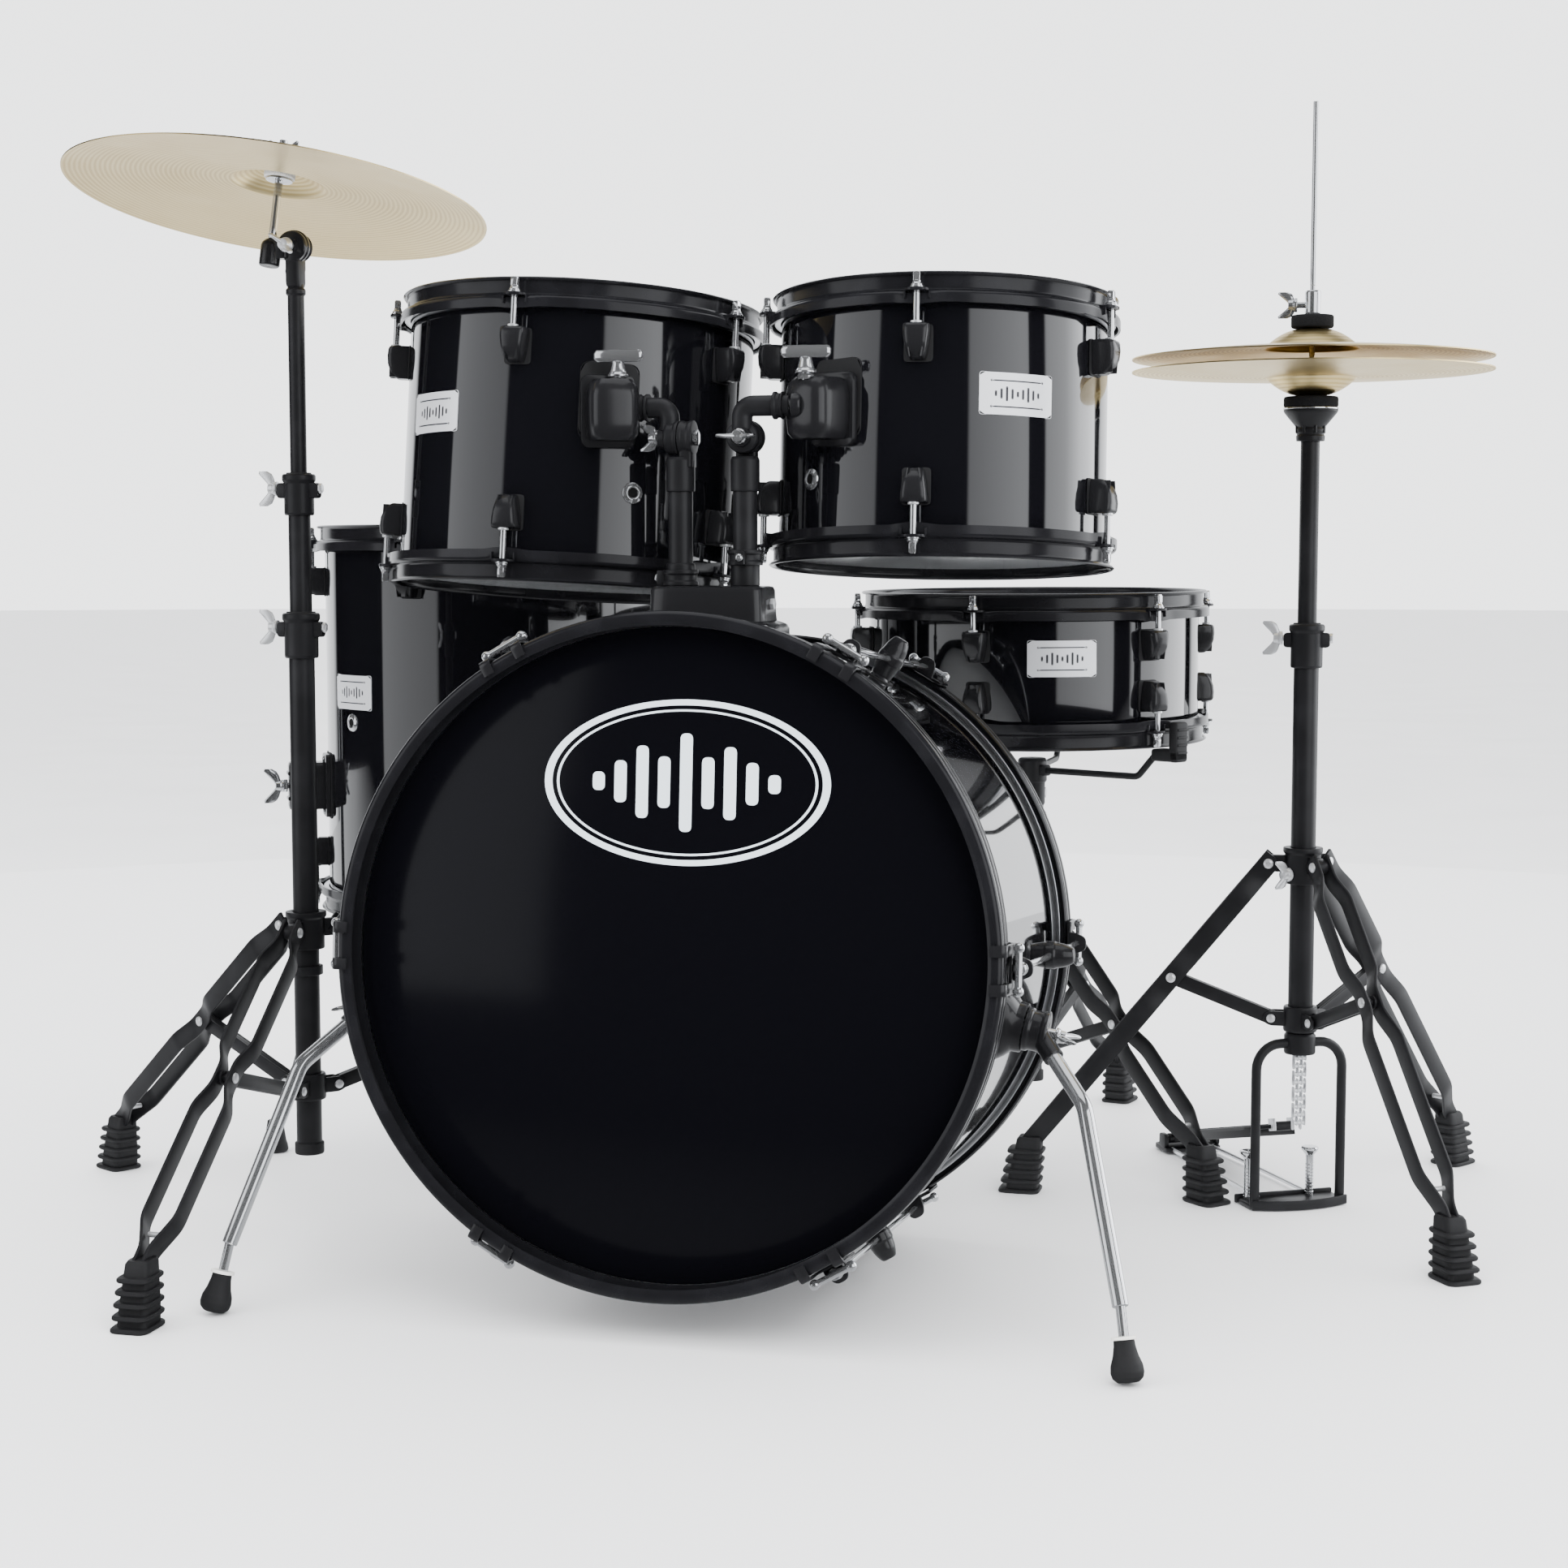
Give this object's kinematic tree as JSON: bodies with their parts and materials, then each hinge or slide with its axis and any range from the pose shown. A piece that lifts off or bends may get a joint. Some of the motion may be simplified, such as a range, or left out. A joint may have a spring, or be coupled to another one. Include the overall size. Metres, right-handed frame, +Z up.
{
  "type": "acoustic drum kit",
  "caption": "Acoustic drum kit: bass drum on spurs with toms mounted on top, floor tom, snare on a stand, crash cymbal stand and pedal hi-hat, in gloss black.",
  "frame": {"origin": "on the floor, at the middle of the kit's footprint", "axes": "+X across the kit, to the right of a viewer in front of the bass drum; +Y from the audience to the player; +Z up"},
  "size_m": [1.4717, 1.2017, 1.115],
  "materials": {
    "black_lacquer": "high-gloss black lacquer over wood plies",
    "drum_film": "coated and clear polyester film",
    "bass_film": "gloss black polyester film at the front, white film at the back",
    "black_hoop": "satin black steel",
    "black_hardware": "satin black powder coat with bright screws",
    "chrome": "polished chrome",
    "cymbal_brass": "lathed and brushed brass",
    "steel_wire": "bright steel wire"
  },
  "bodies": {
    "kit_base": {"bass_drum_shell": "black_lacquer", "bass_drum_heads": "bass_film", "bass_drum_hoops": "black_hoop", "bass_drum_lugs": "black_hardware", "bass_drum_claws_and_rods": "black_hardware", "tom_mount_block": "black_hardware", "spur_brackets": "black_hardware", "floor_tom_legs": "chrome", "crash_base_tube": "black_hardware", "crash_legs": "black_hardware", "snare_stand_base": "black_hardware", "snare_stand_legs": "black_hardware", "hihat_base_tube": "black_hardware"},
    "right_spur": {"spur_right": "chrome"},
    "left_spur": {"spur_left": "chrome"},
    "right_post": {"right_tom_post": "black_hardware"},
    "right_arm": {"right_tom_arm": "black_hardware"},
    "left_post": {"left_tom_post": "black_hardware"},
    "left_arm": {"left_tom_arm": "black_hardware"},
    "tom_12": {"tom_12_shell": "black_lacquer", "tom_12_heads": "drum_film", "tom_12_hoops": "black_hoop", "tom_12_lugs_and_rods": "black_hardware", "tom_12_bracket": "black_hardware"},
    "tom_13": {"tom_13_shell": "black_lacquer", "tom_13_heads": "drum_film", "tom_13_hoops": "black_hoop", "tom_13_lugs_and_rods": "black_hardware", "tom_13_bracket": "black_hardware"},
    "floor_tom": {"floor_tom_shell": "black_lacquer", "floor_tom_heads": "drum_film", "floor_tom_hoops": "black_hoop", "floor_tom_lugs_and_rods": "black_hardware", "floor_tom_leg_brackets": "black_hardware"},
    "snare_column": {"snare_stand_upper_tube": "black_hardware"},
    "snare": {"snare_basket": "black_hardware", "snare_shell": "black_lacquer", "snare_heads": "drum_film", "snare_hoops": "black_hoop", "snare_lugs_and_rods": "black_hardware", "snare_strainer": "black_hardware"},
    "snare_lever": {"snare_strainer_lever": "black_hardware"},
    "snare_wire_strip": {"snare_wires": "steel_wire"},
    "hihat_column": {"hihat_upper_tube": "black_hardware", "hihat_bottom_cymbal": "cymbal_brass"},
    "hihat_rod": {"hihat_pull_rod": "chrome"},
    "hihat_clutch_and_top_cymbal": {"hihat_clutch": "chrome", "hihat_top_cymbal": "cymbal_brass"},
    "hihat_pedal": {"hihat_footboard": "black_hardware"},
    "hihat_hub": {"hihat_leg_hub": "black_hardware"},
    "crash_mid": {"crash_middle_tube": "black_hardware"},
    "crash_upper": {"crash_top_tube": "black_hardware"},
    "crash_tilt": {"crash_tilter": "black_hardware"},
    "crash": {"crash_cymbal": "cymbal_brass"},
    "hihat_leg_1_body": {"hihat_leg_1": "black_hardware"},
    "hihat_brace_1_body": {"hihat_brace_1": "black_hardware"},
    "hihat_leg_2_body": {"hihat_leg_2": "black_hardware"},
    "hihat_brace_2_body": {"hihat_brace_2": "black_hardware"},
    "hihat_leg_3_body": {"hihat_leg_3": "black_hardware"},
    "hihat_brace_3_body": {"hihat_brace_3": "black_hardware"}
  },
  "joints": [
    {"name": "right_spur_fold", "type": "hinge", "parent": "kit_base", "child": "right_spur", "pos_m": [0.35399, -0.387, 0.26059], "axis": [0.9816, 0, -0.1908], "range_deg": [-100, 0]},
    {"name": "left_spur_fold", "type": "hinge", "parent": "kit_base", "child": "left_spur", "pos_m": [-0.25599, -0.387, 0.26059], "axis": [-0.9816, 0, -0.1908], "range_deg": [0, 100]},
    {"name": "right_tom_height", "type": "slide", "parent": "kit_base", "child": "right_post", "axis": [0, 0, 1], "range_m": [0, 0.05]},
    {"name": "right_tom_tilt", "type": "hinge", "parent": "right_post", "child": "right_arm", "pos_m": [0.079, -0.325, 0.772], "axis": [0, -1, 0], "range_deg": [-3, 3]},
    {"name": "right_tom_pitch", "type": "hinge", "parent": "right_arm", "child": "tom_12", "pos_m": [0.137, -0.335, 0.799], "axis": [1, 0, 0], "range_deg": [-4, 1]},
    {"name": "left_tom_height", "type": "slide", "parent": "kit_base", "child": "left_post", "axis": [0, 0, 1], "range_m": [0, 0.05]},
    {"name": "left_tom_tilt", "type": "hinge", "parent": "left_post", "child": "left_arm", "pos_m": [0.019, -0.325, 0.772], "axis": [-1, 0, 0], "range_deg": [-1, 3]},
    {"name": "left_tom_pitch", "type": "hinge", "parent": "left_arm", "child": "tom_13", "pos_m": [-0.039, -0.325, 0.799], "axis": [1, 0, 0], "range_deg": [-4, 1]},
    {"name": "floor_tom_height", "type": "slide", "parent": "kit_base", "child": "floor_tom", "axis": [0, 0, 1], "range_m": [-0.03, 0.03]},
    {"name": "snare_height", "type": "slide", "parent": "kit_base", "child": "snare_column", "axis": [0, 0, 1], "range_m": [-0.015, 0.03]},
    {"name": "snare_tilt", "type": "hinge", "parent": "snare_column", "child": "snare", "pos_m": [0.247, 0.291, 0.404], "axis": [1, 0, 0], "range_deg": [-4, 4]},
    {"name": "snare_throw_off", "type": "hinge", "parent": "snare", "child": "snare_lever", "pos_m": [0.37745, 0.38443, 0.53069], "axis": [-0.7683, 0.6401, 0.002], "range_deg": [0, 90]},
    {"name": "snare_wire_drop", "type": "slide", "parent": "snare", "child": "snare_wire_strip", "axis": [0.004, 0.008, -1], "range_m": [0, 0.003]},
    {"name": "hihat_height", "type": "slide", "parent": "kit_base", "child": "hihat_column", "axis": [0, 0, 1], "range_m": [-0.04, 0.05]},
    {"name": "hihat_rod_pull", "type": "slide", "parent": "kit_base", "child": "hihat_rod", "axis": [0, 0, 1], "range_m": [-0.0092, 0], "stiffness_N_per_m": 1500, "springref_m": 0.012},
    {"name": "hihat_clutch_on_rod", "type": "slide", "parent": "hihat_rod", "child": "hihat_clutch_and_top_cymbal", "axis": [0, 0, 1], "range_m": [-0.04, 0.05]},
    {"name": "hihat_pedal_press", "type": "hinge", "parent": "kit_base", "child": "hihat_pedal", "pos_m": [0.421, 0.3229, 0.016], "axis": [-0.866, -0.5, 0], "range_deg": [-2.31, 0], "stiffness_Nm_per_rad": 60, "springref_deg": 3.44},
    {"name": "hihat_tripod_fold", "type": "slide", "parent": "kit_base", "child": "hihat_hub", "axis": [0, 0, 1], "range_m": [0, 0.07]},
    {"name": "hihat_leg_1_turn", "type": "hinge", "parent": "hihat_hub", "child": "hihat_leg_1_body", "pos_m": [0.518, 0.096, 0.355], "axis": [0, -1, 0], "range_deg": [0, 15.51]},
    {"name": "hihat_brace_1_turn", "type": "hinge", "parent": "kit_base", "child": "hihat_brace_1_body", "pos_m": [0.523, 0.096, 0.196], "axis": [0, 1, 0], "range_deg": [0, 32.16]},
    {"name": "hihat_leg_2_turn", "type": "hinge", "parent": "hihat_hub", "child": "hihat_leg_2_body", "pos_m": [0.57052, 0.06749, 0.355], "axis": [0.8387, 0.5446, 0], "range_deg": [0, 15.51]},
    {"name": "hihat_brace_2_turn", "type": "hinge", "parent": "kit_base", "child": "hihat_brace_2_body", "pos_m": [0.5678, 0.07168, 0.196], "axis": [-0.8387, -0.5446, 0], "range_deg": [0, 32.16]},
    {"name": "hihat_leg_3_turn", "type": "hinge", "parent": "hihat_hub", "child": "hihat_leg_3_body", "pos_m": [0.57052, 0.12452, 0.355], "axis": [-0.8387, 0.5446, 0], "range_deg": [0, 15.51]},
    {"name": "hihat_brace_3_turn", "type": "hinge", "parent": "kit_base", "child": "hihat_brace_3_body", "pos_m": [0.5678, 0.12032, 0.196], "axis": [0.8387, -0.5446, 0], "range_deg": [0, 32.16]},
    {"name": "crash_middle_height", "type": "slide", "parent": "kit_base", "child": "crash_mid", "axis": [0, 0, 1], "range_m": [-0.02, 0.08]},
    {"name": "crash_top_height", "type": "slide", "parent": "crash_mid", "child": "crash_upper", "axis": [0, 0, 1], "range_m": [-0.03, 0.08]},
    {"name": "crash_tilt_angle", "type": "hinge", "parent": "crash_upper", "child": "crash_tilt", "pos_m": [-0.399, -0.222, 0.964], "axis": [0, 1, 0], "range_deg": [-8, 8]},
    {"name": "crash_spin", "type": "hinge", "parent": "crash_tilt", "child": "crash", "pos_m": [-0.417, -0.223, 1.008], "axis": [0.065, 0.167, 0.9838], "continuous": true}
  ],
  "couplings": [
    {"joint": "snare_wire_drop", "follows": "snare_throw_off", "m_per_rad": 0.0019099},
    {"joint": "hihat_clutch_on_rod", "follows": "hihat_height", "ratio": 1},
    {"joint": "hihat_rod_pull", "follows": "hihat_pedal_press", "m_per_rad": 0.228},
    {"joint": "hihat_leg_1_turn", "follows": "hihat_tripod_fold", "rad_per_m": 3.8646},
    {"joint": "hihat_brace_1_turn", "follows": "hihat_tripod_fold", "rad_per_m": 8.0153},
    {"joint": "hihat_leg_2_turn", "follows": "hihat_tripod_fold", "rad_per_m": 3.8646},
    {"joint": "hihat_brace_2_turn", "follows": "hihat_tripod_fold", "rad_per_m": 8.0153},
    {"joint": "hihat_leg_3_turn", "follows": "hihat_tripod_fold", "rad_per_m": 3.8646},
    {"joint": "hihat_brace_3_turn", "follows": "hihat_tripod_fold", "rad_per_m": 8.0153}
  ]
}
